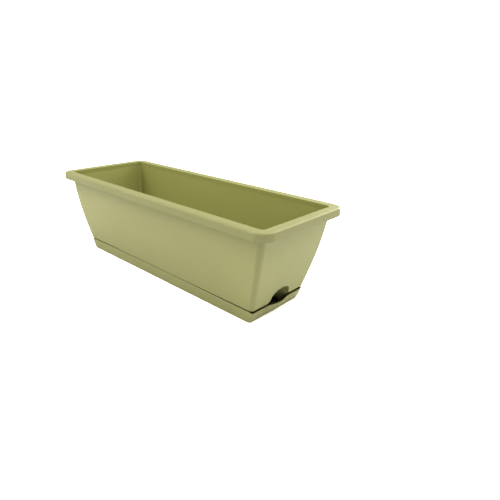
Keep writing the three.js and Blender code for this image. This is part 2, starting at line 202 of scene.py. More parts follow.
class PlanterColours(bpy.types.PropertyGroup):
    """Colours of the planter and of the studio, and the fitted shares of painted shade on the
    skirt, the rim's top and the corners.
    """

    plastic: colour("Plastic", "Olive-green polypropylene with a fine grain", 0x87865D)
    plastic_deep: colour("Plastic, deeper", "Where the pigment lies a little denser", 0x838259)
    # Painted light: the inside is a lighter copy of the outer plastic, about 1.4 times as light,
    # standing in for light falling inside the trough.
    inside: colour("Inside", "Inside the trough, less hazy, fitted to the photo", 0x9C9C6B)
    inside_lit_deep: colour("Inside, deeper", "Inside, where the pigment is a little denser", 0x999967)
    floor: colour("Studio floor", "Plain pale floor", 0xFFFFFF)
    # Painted shade: how much of its brightness the skirt, the rim's top and the wall's corners
    # keep, standing in for the shade the light leaves there. 1 leaves it out.
    skirt_shade_share: fraction("Skirt share", "Skirt's brightness, fitted. 1 leaves it out", 0.86)
    rim_shade_share: fraction("Rim share", "Rim top's brightness, fitted. 1 leaves it out", 0.944)
    corner_shade_share: fraction("Corner share", "Corners' brightness, fitted. 1 leaves it out", 0.86)


class PlanterCamera(bpy.types.PropertyGroup):
    """Where the photograph was taken from, and its lens."""

    place: bpy.props.FloatVectorProperty(
        name="Place", description="Camera's place", default=(0.563328, -0.499845, 0.333368),
        subtype="TRANSLATION", unit="LENGTH",
    )
    azimuth: angle("Azimuth", "Turn of the view from the long front", 44.248)
    elevation: angle("Elevation", "How far the view looks down", 12.631)
    roll: angle("Roll", "Tilt of the picture", 0.927)
    focal_share: fraction("Focal length", "As a share of the picture's width", 455.586 / 500)
    centre_across: fraction("Centre across", "The lens's centre across the picture", 216.843 / 500)
    centre_down: fraction("Centre down", "The lens's centre down the picture", 178.14 / 500)


def wall_lean(sizes, taper, height):
    """How far a wall has leaned in at a height, from where it meets the rim."""
    bend_at_top = sizes.overall_height - sizes.bend_height
    bend_here = max(height - sizes.bend_height, 0)
    bowed_back = (bend_at_top**2 - bend_here**2) / (2 * sizes.bend_radius)
    return math.tan(taper) * (sizes.overall_height - height) - bowed_back


def mouth_outline(sizes):
    """The mouth's outline."""
    return Outline(
        sizes.overall_length / 2 - sizes.rim_band,
        sizes.overall_width / 2 - sizes.rim_band,
        sizes.wall_top_corner - sizes.throat_sheet,
    )


def wall_outline(sizes, height):
    """The outline of the wall's outer face at a height."""
    mouth = mouth_outline(sizes)
    share = (height - sizes.seam_height) / (sizes.overall_height - sizes.seam_height)
    return Outline(
        mouth.half_length + sizes.throat_sheet - wall_lean(sizes, sizes.end_taper, height),
        mouth.half_width + sizes.throat_sheet - wall_lean(sizes, sizes.side_taper, height),
        sizes.wall_foot_corner + share * (sizes.wall_top_corner - sizes.wall_foot_corner),
    )


def tray_outline(sizes, height):
    """The outline of the tray's outer face at a height. It meets the wall's face at the seam."""
    seam = wall_outline(sizes, sizes.seam_height)
    below = sizes.seam_height - height
    return Outline(
        seam.half_length - math.tan(sizes.tray_end_taper) * below,
        seam.half_width - math.tan(sizes.tray_side_taper) * below,
        sizes.tray_corner,
    )


def plinth_foot_height(sizes):
    """Height of the plinth's and the feet's lower edge."""
    return sizes.tray_floor_sheet + sizes.rest_gap


def plinth_inset(sizes):
    """How far the plinth lies inside the tray's outer face."""
    return sizes.tray_sheet + sizes.plinth_clearance


def drawn_in(outline, distance):
    """The outline drawn in by the same distance all round."""
    return Outline(
        outline.half_length - distance,
        outline.half_width - distance,
        max(outline.radius - distance, 1 * MM),
    )


def quarter(steps):
    """Sines and cosines through a quarter turn, from 0 to 90 degrees."""
    turns = [math.pi / 2 * step / steps for step in range(steps + 1)]
    return [(math.sin(turn), math.cos(turn)) for turn in turns]


def climb(low, high, steps):
    """Evenly spaced heights from one to another, both included."""
    return [low + step / steps * (high - low) for step in range(steps + 1)]


def even_places(number, pitch):
    """Evenly spaced places on both sides of the middle."""
    return [(index - (number - 1) / 2) * pitch for index in range(number)]


def deselect_all():
    """Leaves nothing selected, in object mode."""
    if bpy.context.mode != "OBJECT":
        bpy.ops.object.mode_set(mode="OBJECT")
    bpy.ops.object.select_all(action="DESELECT")


def make_active(piece):
    """Selects one object alone and makes it the active one."""
    deselect_all()
    piece.select_set(True)
    bpy.context.view_layer.objects.active = piece


def edit_points():
    """The points of the mesh being edited."""
    mesh = bmesh.from_edit_mesh(bpy.context.object.data)
    mesh.verts.ensure_lookup_table()
    return mesh


def show_selection(mesh):
    """Makes the selected points the selection of the mesh being edited."""
    mesh.select_flush_mode()
    bmesh.update_edit_mesh(bpy.context.object.data, loop_triangles=False, destructive=False)


def select_points(test):
    """Selects the points of the mesh being edited whose place passes a test."""
    mesh = edit_points()
    for point in mesh.verts:
        point.select_set(test(point.co))
    show_selection(mesh)


def take_points(all_points, chosen):
    """Of these points of the mesh being edited, selects the chosen ones alone."""
    mesh = edit_points()
    for index in all_points:
        mesh.verts[index].select_set(False)
    for index in chosen:
        mesh.verts[index].select_set(True)
    show_selection(mesh)


class Sweep:
    """A closed body drawn out of one flat cap, ring by ring, round a rounded rectangle."""

    def __init__(self, name, outline, height, corner_steps, end_cuts=0, side_cuts=0):
        deselect_all()
        bpy.ops.mesh.primitive_plane_add(size=1, location=(0, 0, height))
        self.piece = bpy.context.object
        self.piece.name = name
        bpy.ops.object.transform_apply(location=True)
        bpy.ops.object.mode_set(mode="EDIT")
        bpy.ops.mesh.select_mode(type="VERT")
        size = (2 * outline.half_length, 2 * outline.half_width, 1)
        bpy.ops.transform.resize(value=size, center_override=(0, 0, height))
        bpy.ops.mesh.bevel(offset=outline.radius, affect="VERTICES", segments=corner_steps)
        for side in (-1, 1):
            if end_cuts:
                edge_x = side * outline.half_length
                select_points(lambda place: abs(place.x - edge_x) < TOUCH)
                bpy.ops.mesh.subdivide(number_cuts=end_cuts)
            if side_cuts:
                edge_y = side * outline.half_width
                select_points(lambda place: abs(place.y - edge_y) < TOUCH)
                bpy.ops.mesh.subdivide(number_cuts=side_cuts)
        self.outline = outline
        self.height = height
        self.rings = []
        bpy.ops.mesh.select_all(action="SELECT")

    def take(self, indices):
        """Selects these points of the cap alone."""
        take_points(self.cap, indices)

    def to(self, outline, height):
        """Extrudes the cap and gives it the next outline."""
        rise = (0, 0, height - self.height)
        bpy.ops.mesh.extrude_region_move(TRANSFORM_OT_translate={"value": rise})
        mesh = edit_points()
        self.cap = [point.index for point in mesh.verts if point.select]
        places = {index: mesh.verts[index].co.copy() for index in self.cap}
        old = self.outline
        corner_x = old.half_length - old.radius
        corner_y = old.half_width - old.radius
        new_x = outline.half_length - outline.radius
        new_y = outline.half_width - outline.radius
        growth = outline.radius / old.radius
        for sign in (-1, 1):
            for across in (-1, 1):
                corner = [
                    index for index, place in places.items()
                    if place.x * sign > corner_x - TOUCH and place.y * across > corner_y - TOUCH
                ]
                self.take(corner)
                centre = (sign * corner_x, across * corner_y, height)
                bpy.ops.transform.resize(value=(growth, growth, 1), center_override=centre)
                shift = (sign * (new_x - corner_x), across * (new_y - corner_y), 0)
                bpy.ops.transform.translate(value=shift)
            end_points = [
                index for index, place in places.items()
                if place.x * sign > 0 and abs(place.y) < corner_y - TOUCH
            ]
            self.slide(end_points, (sign * (outline.half_length - old.half_length), 0, 0))
            side_points = [
                index for index, place in places.items()
                if place.y * sign > 0 and abs(place.x) < corner_x - TOUCH
            ]
            self.slide(side_points, (0, sign * (outline.half_width - old.half_width), 0))
        self.take(self.cap)
        self.outline = outline
        self.height = height
        self.rings.append((self.cap, outline))

    def slide(self, indices, shift):
        """Moves these points of the cap, if there are any."""
        if indices:
            self.take(indices)
            bpy.ops.transform.translate(value=shift)

    def finish(self):
        """Closes the body: merged, faces outwards, in object mode."""
        bpy.ops.mesh.select_all(action="SELECT")
        bpy.ops.mesh.remove_doubles(threshold=0.001 * MM)
        bpy.ops.mesh.normals_make_consistent(inside=False)
        bpy.ops.object.mode_set(mode="OBJECT")
        return self.piece


def combine(piece, tool, operation):
    """Joins, cuts or clips a piece with a tool, which is used up."""
    make_active(piece)
    modifier = piece.modifiers.new("combine", "BOOLEAN")
    modifier.operation = operation
    modifier.solver = "EXACT"
    modifier.object = tool
    bpy.ops.object.modifier_apply(modifier=modifier.name)
    bpy.data.objects.remove(tool)
    return piece


def placed(name):
    """Names the primitive just added and puts its place into its mesh."""
    tool = bpy.context.object
    tool.name = name
    bpy.ops.object.transform_apply(location=True, rotation=True, scale=True)
    return tool


def repeated(tool, places):
    """One object with a copy of the tool at each place, moved there from the origin."""
    copies = []
    for place in places:
        make_active(tool)
        bpy.ops.object.duplicate()
        copy = bpy.context.object
        copy.data.transform(Matrix.Translation(place))
        copies.append(copy)
    bpy.data.objects.remove(tool)
    deselect_all()
    for copy in copies:
        copy.select_set(True)
    bpy.context.view_layer.objects.active = copies[0]
    bpy.ops.object.join()
    return bpy.context.object


def both_ends(tool):
    """One object with the tool at the right end and its half-turned copy at the left end."""
    make_active(tool)
    bpy.ops.object.duplicate()
    bpy.context.object.data.transform(Matrix.Rotation(math.pi, 4, "Z"))
    tool.select_set(True)
    bpy.ops.object.join()
    return bpy.context.object


def trough_shell(sizes):
    """The trough's shell, swept from the underside of its floor round the plinth, wall and rim."""
    steps = sizes.rounding_steps
    rim = Outline(sizes.overall_length / 2, sizes.overall_width / 2, sizes.rim_corner)
    mouth = mouth_outline(sizes)
    inset = plinth_inset(sizes)
    plinth_foot = plinth_foot_height(sizes)
    plinth_top = drawn_in(wall_outline(sizes, sizes.seam_height), inset)
    plinth_low = drawn_in(tray_outline(sizes, plinth_foot), inset + sizes.tray_fillet)
    band_underside = sizes.overall_height - sizes.rim_sheet
    skirt_foot = sizes.overall_height - sizes.rim_skirt_height
    skirt_inside = drawn_in(rim, sizes.rim_sheet)
    sweep = Sweep(
        "trough_moulding", drawn_in(plinth_top, sizes.plinth_sheet), sizes.seam_height,
        sizes.corner_steps,
    )
    sweep.to(drawn_in(plinth_low, sizes.plinth_sheet), plinth_foot)
    sweep.to(plinth_low, plinth_foot)
    sweep.to(plinth_top, sizes.seam_height)
    rounding = sizes.edge_rounding
    for sine, cosine in quarter(steps):
        height = sizes.seam_height + rounding * (1 - cosine)
        sweep.to(drawn_in(wall_outline(sizes, height), rounding * (1 - sine)), height)
    for height in climb(sizes.bend_height, band_underside, sizes.bend_steps):
        sweep.to(wall_outline(sizes, height), height)
    sweep.to(skirt_inside, band_underside)
    sweep.to(skirt_inside, skirt_foot)
    rounding = sizes.rim_foot_rounding
    for sine, cosine in quarter(steps):
        sweep.to(drawn_in(rim, rounding * (1 - sine)), skirt_foot + rounding * (1 - cosine))
    top = sizes.overall_height
    rounding = sizes.rim_rounding
    for sine, cosine in quarter(steps + 3):
        sweep.to(drawn_in(rim, rounding * (1 - cosine)), top - rounding * (1 - sine))
    rounding = sizes.rim_mouth_rounding
    for sine, cosine in quarter(steps):
        sweep.to(drawn_in(mouth, -rounding * (1 - sine)), top - rounding * (1 - cosine))
    throat_foot = top - sizes.throat_depth
    sweep.to(mouth, throat_foot)
    for height in climb(throat_foot, sizes.bend_height, sizes.bend_steps):
        sweep.to(drawn_in(wall_outline(sizes, height), sizes.wall_sheet), height)
    floor_top = sizes.seam_height + sizes.floor_sheet
    fillet = sizes.floor_fillet
    for sine, cosine in quarter(steps):
        height = floor_top + fillet * (1 - sine)
        face = drawn_in(wall_outline(sizes, height), sizes.wall_sheet)
        sweep.to(drawn_in(face, fillet * (1 - cosine)), height)
    return sweep.finish()


def trough_envelope(sizes):
    """Everything inside the trough's outer faces, from the plinth's foot up to the bend."""
    inset = plinth_inset(sizes)
    plinth_foot = plinth_foot_height(sizes)
    seam = wall_outline(sizes, sizes.seam_height)
    low = drawn_in(tray_outline(sizes, plinth_foot), inset + sizes.tray_fillet)
    sweep = Sweep("envelope", low, plinth_foot, sizes.corner_steps)
    sweep.to(drawn_in(seam, inset), sizes.seam_height)
    sweep.to(seam, sizes.seam_height)
    sweep.to(wall_outline(sizes, sizes.bend_height), sizes.bend_height)
    return sweep.finish()


def recess_rings(sizes, sheet):
    """The filling recess's rings from in front of the wall to its back: depth, half width, rise of
    the arch and spread of the foot. The mouth has a small rounding, the foot spreads like a bell,
    and the back is a quarter dome."""
    roll = sizes.recess_roll
    reach, rise = sizes.recess_half_width, sizes.recess_rise
    rings = [(-CUT_MARGIN, reach + roll + sheet, rise + roll + sheet)]
    for sine, cosine in quarter(sizes.rounding_steps):
        grown = roll * (1 - sine) + sheet
        rings.append((roll * (1 - cosine), reach + grown, rise + grown))
    dome_depth = sizes.recess_depth - roll + sheet
    for step in range(1, sizes.dome_steps + 1):
        turn = sizes.recess_dome_turn * step / sizes.dome_steps
        rings.append((
            roll + dome_depth * math.sin(turn),
            (reach + sheet) * math.cos(turn),
            (rise + sheet) * math.cos(turn),
        ))
    return [(*ring, sizes.recess_flare * flare_share(sizes, ring[0] - sheet)) for ring in rings]


def flare_share(sizes, depth):
    """How much of the foot's spread is left at a depth, from 1 at the wall to 0."""
    return 1 - min(max(depth / sizes.recess_flare_depth, 0), 1)


def recess_tool(sizes, sheet):
    """The filling recess as a closed tool, larger all round by a sheet thickness: an arch on legs
    whose feet spread, drawn inwards ring by ring."""
    rings = recess_rings(sizes, sheet)
    depth, reach, rise, flare = rings[0]
    spring = sizes.recess_spring
    deselect_all()
    bpy.ops.mesh.primitive_circle_add(
        vertices=2 * sizes.arch_steps, radius=1, rotation=(math.pi / 2, 0, math.pi / 2),
    )
    tool = placed("recess_tool")
    bpy.ops.object.mode_set(mode="EDIT")
    bpy.ops.mesh.select_mode(type="VERT")
    select_points(lambda place: place.z < -NEAR)
    bpy.ops.mesh.delete(type="VERT")
    bpy.ops.mesh.select_all(action="SELECT")
    bpy.ops.transform.resize(value=(1, reach, rise), center_override=(0, 0, 0))
    bpy.ops.transform.translate(value=(0, 0, spring))
    select_points(lambda place: place.z < spring + TOUCH)
    levels = [(spring, 0)]
    for sine, cosine in quarter(sizes.leg_steps)[1:]:
        levels.append((spring - (spring - sizes.seam_height) * sine, 1 - cosine))
    levels.append((-CUT_MARGIN, 1))
    for (high, narrow), (low, wide) in zip(levels, levels[1:]):
        drop = (0, 0, low - high)
        bpy.ops.mesh.extrude_region_move(TRANSFORM_OT_translate={"value": drop})
        spread = (reach + flare * wide) / (reach + flare * narrow)
        bpy.ops.transform.resize(value=(1, spread, 1), center_override=(0, 0, low))
    bpy.ops.mesh.select_all(action="SELECT")
    bpy.ops.mesh.edge_face_add()
    bpy.ops.transform.translate(value=(-depth, 0, 0))
    for next_depth, next_reach, next_rise, next_flare in rings[1:]:
        inward = (depth - next_depth, 0, 0)
        bpy.ops.mesh.extrude_region_move(TRANSFORM_OT_translate={"value": inward})
        mesh = edit_points()
        heights = {point.index: point.co.z for point in mesh.verts if point.select}
        arch = [index for index, height in heights.items() if height > spring + TOUCH]
        take_points(heights, arch)
        growth = (1, next_reach / reach, next_rise / rise)
        bpy.ops.transform.resize(value=growth, center_override=(0, 0, spring))
        for level, spread in levels:
            leg = [index for index, height in heights.items() if abs(height - level) < TOUCH]
            take_points(heights, leg)
            growth = (next_reach + next_flare * spread) / (reach + flare * spread)
            bpy.ops.transform.resize(value=(1, growth, 1), center_override=(0, 0, level))
        take_points(heights, heights)
        depth, reach, rise, flare = next_depth, next_reach, next_rise, next_flare
    bpy.ops.mesh.select_all(action="SELECT")
    bpy.ops.mesh.normals_make_consistent(inside=False)
    bpy.ops.object.mode_set(mode="OBJECT")
    follow_wall(tool, sizes)
    return tool


def follow_wall(tool, sizes):
    """Slides each height of a tool along X, so that its face lies on the leaning end wall."""
    lean = math.tan(sizes.end_taper)
    seam_x = wall_outline(sizes, sizes.seam_height).half_length
    slant = Matrix.Identity(4)
    slant[0][2] = lean
    slant[0][3] = seam_x - lean * sizes.seam_height
    tool.data.transform(slant)


def passage_tool(sizes):
    """The low arched water passage through the plinth behind the recess."""
    plinth_foot = plinth_foot_height(sizes)
    plinth = tray_outline(sizes, plinth_foot).half_length
    inset = plinth_inset(sizes)
    reach = sizes.recess_depth + sizes.plinth_sheet + inset + sizes.recess_roll
    deselect_all()
    bpy.ops.mesh.primitive_cylinder_add(
        vertices=64, radius=1, depth=reach, location=(plinth - reach / 2, 0, plinth_foot),
        rotation=(0, math.pi / 2, 0),
    )
    tool = placed("passage_tool")
    bpy.ops.object.mode_set(mode="EDIT")
    bpy.ops.mesh.select_all(action="SELECT")
    low_arch = (1, sizes.passage_half_width, sizes.passage_rise)
    bpy.ops.transform.resize(value=low_arch, center_override=(0, 0, plinth_foot))
    bpy.ops.object.mode_set(mode="OBJECT")
    return tool


def row(number, pitch):
    """Places in one row along the trough."""
    return [(x, 0, 0) for x in even_places(number, pitch)]


def grid(sizes, along, across):
    """Places in rows and columns, at the feet's distances."""
    return [
        (x, y, 0)
        for x in even_places(along, sizes.foot_pitch_along)
        for y in even_places(across, sizes.foot_pitch_across)
    ]


def foot_places(sizes):
    """Places of the hollow feet."""
    return grid(sizes, sizes.feet_along, sizes.feet_across)


def drain_places(sizes):
    """Places of the drain holes in the floor: between the feet of a row, and between the rows."""
    between_feet = grid(sizes, sizes.feet_along - 1, sizes.feet_across)
    return between_feet + grid(sizes, sizes.feet_along, sizes.feet_across - 1)


def round_tool(name, low, high, low_radius, high_radius, vertices=48):
    """An upright round bar or cone about the Z axis."""
    deselect_all()
    bpy.ops.mesh.primitive_cone_add(
        vertices=vertices, radius1=low_radius, radius2=high_radius, depth=high - low,
        location=(0, 0, (low + high) / 2),
    )
    return placed(name)


def feet(sizes):
    """The outer forms of the hollow feet, and their hollows and drain holes."""
    plinth_foot = plinth_foot_height(sizes)
    slope = (sizes.foot_top_radius - sizes.foot_low_radius) / (sizes.seam_height - plinth_foot)
    high = sizes.seam_height + sizes.floor_sheet / 2
    high_radius = sizes.foot_top_radius + slope * (high - sizes.seam_height)
    outer = round_tool("foot_outer", plinth_foot, high, sizes.foot_low_radius, high_radius)
    low = plinth_foot + sizes.foot_sheet
    high = sizes.seam_height + sizes.floor_sheet + CUT_MARGIN
    low_radius = sizes.foot_low_radius - sizes.foot_sheet + slope * sizes.foot_sheet
    high_radius = sizes.foot_top_radius - sizes.foot_sheet + slope * (high - sizes.seam_height)
    hollow = round_tool("foot_hollow", low, high, low_radius, high_radius)
    radius = sizes.drain_radius
    drain = round_tool("foot_drain", plinth_foot - CUT_MARGIN, low + CUT_MARGIN, radius, radius)
    places = foot_places(sizes)
    return [repeated(tool, places) for tool in (outer, hollow, drain)]


def floor_drains(sizes):
    """The drain holes in the floor."""
    low = sizes.seam_height - CUT_MARGIN
    high = sizes.seam_height + sizes.floor_sheet + CUT_MARGIN
    tool = round_tool("floor_drain", low, high, sizes.drain_radius, sizes.drain_radius)
    return repeated(tool, drain_places(sizes))


def block_tool(name, low, high):
    """A square-edged block between two corners."""
    deselect_all()
    middle = [(a + b) / 2 for a, b in zip(low, high)]
    size = [b - a for a, b in zip(low, high)]
    bpy.ops.mesh.primitive_cube_add(size=1, location=middle, scale=size)
    return placed(name)


def rim_ribs(sizes):
    """Short ribs in the hollow of the rim, between the wall and the skirt of each long side."""
    low = sizes.overall_height - sizes.rim_skirt_height + sizes.rim_rib_rise
    high = sizes.overall_height - sizes.rim_sheet / 2
    wall = wall_outline(sizes, low).half_width - sizes.wall_sheet / 2
    skirt = sizes.overall_width / 2 - sizes.rim_sheet / 2
    half = sizes.rim_rib_sheet / 2
    rib = block_tool("rim_rib", (-half, wall, low), (half, skirt, high))
    return both_ends(repeated(rib, row(sizes.rim_ribs_along, sizes.rim_rib_pitch)))


def smooth_finish(piece):
    """Smooth shading that keeps the flats flat and the sharp edges sharp."""
    make_active(piece)
    bpy.ops.object.mode_set(mode="EDIT")
    bpy.ops.mesh.select_all(action="SELECT")
    bpy.ops.mesh.remove_doubles(threshold=0.002 * MM)
    bpy.ops.object.mode_set(mode="OBJECT")
    bpy.ops.object.shade_smooth_by_angle(angle=math.radians(32))
    weighted = piece.modifiers.new("weighted", "WEIGHTED_NORMAL")
    weighted.keep_sharp = True
    weighted.weight = 80
    bpy.ops.object.modifier_apply(modifier=weighted.name)


def node(material, kind, place, settings=None, links=None):
    """Adds a node to a material, with its settings and with links into its sockets."""
    tree = material.node_tree
    made = tree.nodes.new(kind)
    made.location = place
    for name, value in (settings or {}).items():
        if name in made.inputs:
            made.inputs[name].default_value = value
        else:
            setattr(made, name, value)
    for name, source in (links or {}).items():
        tree.links.new(source, made.inputs[name])
    return made


def map_range(material, place, value, start, end):
    """Maps a value from one pair of numbers to another, and stops at both ends."""
    settings = {"From Min": start[0], "From Max": start[1], "To Min": end[0], "To Max": end[1]}
    made = node(material, "ShaderNodeMapRange", place, settings, {"Value": value})
    return made.outputs["Result"]


def painted_shade_share(material, place, colours):
    """Painted shade over the outside: the share of brightness kept on the rim's skirt, on the rim's
    top and on the wall's corners, which darkens them as the light's shade does. The photograph
    shows the rim's skirt and the wall's corners darker than the wall; these shares are fitted to it
    and are no fact about the plastic. A note on the mesh, made when the trough is modelled, says
    where the corners are."""
    skirt_shade_share, rim_shade_share = colours.skirt_shade_share, colours.rim_shade_share
    height = node(material, "ShaderNodeSeparateXYZ", (-1000, 450), None, {"Vector": place})
    height = height.outputs["Z"]
    skirt = map_range(material, (-800, 450), height, SKIRT_SHADE_FADE, (1, skirt_shade_share))
    rim_top_shade = map_range(material, (-800, 700), height, RIM_TOP_SHADE_FADE, (0, rim_shade_share - skirt_shade_share))
    rim = node(
        material, "ShaderNodeMath", (-600, 500), {"operation": "ADD"}, {0: skirt, 1: rim_top_shade},
    )
    # Painted shade on the wall's corners, read from the note on the mesh.
    corner = node(
        material, "ShaderNodeAttribute", (-1000, 950),
        {"attribute_type": "GEOMETRY", "attribute_name": CORNER_SHADE_NOTE},
    )
    corners = map_range(
        material, (-800, 950), corner.outputs["Fac"], (0, 1), (1, colours.corner_shade_share),
    )
    share = node(
        material, "ShaderNodeMath", (-400, 600), {"operation": "MULTIPLY"},
        {0: rim.outputs[0], 1: corners},
    )
    return share.outputs[0]


def moulded_polypropylene(name, light, deep, grain_depth, specular, colours=None):
    """Moulded polypropylene in satin olive green. A fine grain takes the gloss off, the pigment
    flows a little unevenly, and the sheet is never quite flat. Given the colours, the base colour
    also carries painted shade on the skirt, the rim's top and the corners."""
    material = bpy.data.materials.new(name)
    material.use_nodes = True
    tree = material.node_tree
    shader = tree.nodes["Principled BSDF"]
    shader.inputs["IOR"].default_value = 1.49
    shader.inputs["Specular IOR Level"].default_value = specular
    place = node(material, "ShaderNodeTexCoord", (-1200, 0)).outputs["Object"]
    # Faint streaks of pigment, some 45 mm across and 110 mm along the trough, as such mouldings
    # usually have. The photograph is too coarse to measure them.
    stretched = node(
        material, "ShaderNodeMapping", (-1000, 200), {"Scale": (0.4, 1, 1)}, {"Vector": place},
    )
    flow = node(
        material, "ShaderNodeTexNoise", (-800, 200),
        {"Scale": 22, "Detail": 3, "Roughness": 0.5}, {"Vector": stretched.outputs["Vector"]},
    )
    pigment = node(
        material, "ShaderNodeMix", (-500, 200), {"data_type": "RGBA"},
        {"Factor": flow.outputs["Fac"]},
    )
    pigment.inputs[6].default_value = deep
    pigment.inputs[7].default_value = light
    base = pigment.outputs[2]
    # Painted shade: the base colour is darkened on the skirt, the rim's top and the corners.
    if colours:
        base = node(
            material, "ShaderNodeVectorMath", (-250, 200), {"operation": "SCALE"},
            {"Vector": base, "Scale": painted_shade_share(material, place, colours)},
        ).outputs["Vector"]
    tree.links.new(base, shader.inputs["Base Color"])
    # Such a grain is usually about 0.2 mm. It is drawn at 0.9 mm so that it shows.
    grain = node(
        material, "ShaderNodeTexNoise", (-800, -100),
        {"Scale": 1 / (0.9 * MM), "Detail": 2, "Roughness": 0.6}, {"Vector": place},
    )
    waves = node(
        material, "ShaderNodeTexNoise", (-800, -350),
        {"Scale": 14, "Detail": 1, "Roughness": 0.4}, {"Vector": place},
    )
    gloss = map_range(material, (-500, -100), grain.outputs["Fac"], (0.3, 0.7), (0.5, 0.6))
    tree.links.new(gloss, shader.inputs["Roughness"])
    wavy = node(
        material, "ShaderNodeBump", (-500, -350),
        {"Strength": 0.25, "Distance": 0.6 * MM}, {"Height": waves.outputs["Fac"]},
    )
    grainy = node(
        material, "ShaderNodeBump", (-250, -250),
        {"Strength": 0.12, "Distance": grain_depth},
        {"Height": grain.outputs["Fac"], "Normal": wavy.outputs["Normal"]},
    )
    tree.links.new(grainy.outputs["Normal"], shader.inputs["Normal"])
    return material


def plain_white(colours):
    """Matt white studio paper."""
    material = bpy.data.materials.new("white_paper")
    material.use_nodes = True
    shader = material.node_tree.nodes["Principled BSDF"]
    shader.inputs["Base Color"].default_value = colours.floor
    shader.inputs["Roughness"].default_value = 0.9
    # A little glow of its own, so that it shows pure white round the tray, as in the photograph.
    shader.inputs["Emission Color"].default_value = (1, 1, 1, 1)
    shader.inputs["Emission Strength"].default_value = 0.15
    return material


def dress(piece, materials, body, cad_node):
    """Gives a piece its materials and its place in the frame."""
    piece.data.materials.clear()
    for material in materials:
        piece.data.materials.append(material)
    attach(piece, body)
    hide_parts(cad_node)


def grained_side(context):
    """The plastic's outer side, with its painted shade, made once for both pieces."""
    colours = context.scene.planter_colours
    name = "moulded_polypropylene"
    return bpy.data.materials.get(name) or moulded_polypropylene(
        name, colours.plastic, colours.plastic_deep, 0.08 * MM, 0.8, colours,
    )


def lit_inner_side(context):
    """The plastic inside the trough: a copy of the outer plastic whose base colour is about 1.4
    times as light, which is painted light standing in for light falling inside, and less hazy. The
    photograph shows it deeper in colour and less hazy, so both are fitted by themselves. Whether
    the real one is smoother there can't be seen."""
    colours = context.scene.planter_colours
    return moulded_polypropylene(
        "moulded_polypropylene_inside_lit", colours.inside, colours.inside_lit_deep, 0.04 * MM, 0.4,
    )


def mark_corner_shade(trough, sizes):
    """Notes on the mesh how squarely each outer vertex of the wall faces out of a corner: 0 on the
    flat walls, and nearly 1 in the middle of a corner. The note sets where the corners get painted
    shade. On the long sides the foot of the skirt's corners lies within the same reach, so it is
    noted too, more faintly."""
    mesh = trough.data
    corner = mesh.attributes.new(CORNER_SHADE_NOTE, "FLOAT", "POINT")
    highest = sizes.overall_height - NOTE_DROP
    for vertex in mesh.vertices:
        place, normal = vertex.co, vertex.normal
        wall = wall_outline(sizes, place.z)
        in_height = sizes.seam_height - NEAR < place.z < highest
        past_end = abs(place.x) - wall.half_length
        in_corner = (
            -wall.radius - NEAR < past_end <= NOTE_REACH
            and abs(place.y) > wall.half_width - wall.radius - NEAR
        )
        faces_out = normal.x * place.x > 0 and normal.y * place.y > 0
        if in_height and in_corner and faces_out:
            corner.data[vertex.index].value = min(2 * abs(normal.x * normal.y), 1)


def is_inside(face, sizes):
    """Whether a face of the trough looks into its planting space."""
    place = face.calc_center_median()
    for foot in foot_places(sizes):
        reach = Vector((place.x - foot[0], place.y - foot[1])).length
        if reach < sizes.foot_top_radius and place.z < sizes.seam_height + sizes.floor_sheet:
            return place.z > plinth_foot_height(sizes) + sizes.foot_sheet / 2
    if place.z < sizes.seam_height + sizes.floor_sheet / 2:
        return False
    behind_face = drawn_in(wall_outline(sizes, place.z), sizes.wall_sheet / 2)
    if abs(place.x) > behind_face.half_length or abs(place.y) > behind_face.half_width:
        return False
    in_corner = (
        abs(place.x) > behind_face.half_length - sizes.wall_top_corner
        and abs(place.y) > behind_face.half_width - sizes.wall_top_corner
    )
    if in_corner and face.normal.x * place.x > 0 and face.normal.y * place.y > 0:
        return False
    near_recess = (
        abs(place.y) < sizes.recess_half_width + sizes.wall_sheet + sizes.recess_flare
        and abs(place.x) > behind_face.half_length - sizes.recess_depth - sizes.wall_sheet
        and place.z < sizes.recess_spring + sizes.recess_rise + sizes.wall_sheet
    )
    return not near_recess or face.normal.x * place.x < 0


def mark_inside(trough, sizes):
    """Gives the faces inside the trough its second material, the lighter copy that carries painted
    light.
    """
    make_active(trough)
    bpy.ops.object.mode_set(mode="EDIT")
    bpy.ops.mesh.select_mode(type="FACE")
    bpy.ops.mesh.select_all(action="DESELECT")
    mesh = bmesh.from_edit_mesh(trough.data)
    for face in mesh.faces:
        face.select_set(is_inside(face, sizes))
    bmesh.update_edit_mesh(trough.data, loop_triangles=False, destructive=False)
    trough.active_material_index = 1
    bpy.ops.object.material_slot_assign()
    bpy.ops.object.mode_set(mode="OBJECT")


class PLANTER_OT_trough(bpy.types.Operator):
    """Model the trough with its rim, hollow feet and filling recesses"""

    bl_idname = "planter.trough"
    bl_label = "Trough"

    def execute(self, context):
        sizes = context.scene.planter_sizes
        trough = trough_shell(sizes)
        outer = both_ends(recess_tool(sizes, sizes.wall_sheet))
        combine(outer, trough_envelope(sizes), "INTERSECT")
        combine(trough, outer, "UNION")
        combine(trough, rim_ribs(sizes), "UNION")
        combine(trough, both_ends(recess_tool(sizes, 0)), "DIFFERENCE")
        combine(trough, both_ends(passage_tool(sizes)), "DIFFERENCE")
        for tool, operation in zip(feet(sizes), ("UNION", "DIFFERENCE", "DIFFERENCE")):
            combine(trough, tool, operation)
        combine(trough, floor_drains(sizes), "DIFFERENCE")
        smooth_finish(trough)
        dress(trough, (grained_side(context), lit_inner_side(context)), "trough", "planter_body")
        mark_inside(trough, sizes)
        # Notes where the wall's corners get painted shade.
        mark_corner_shade(trough, sizes)
        return {"FINISHED"}


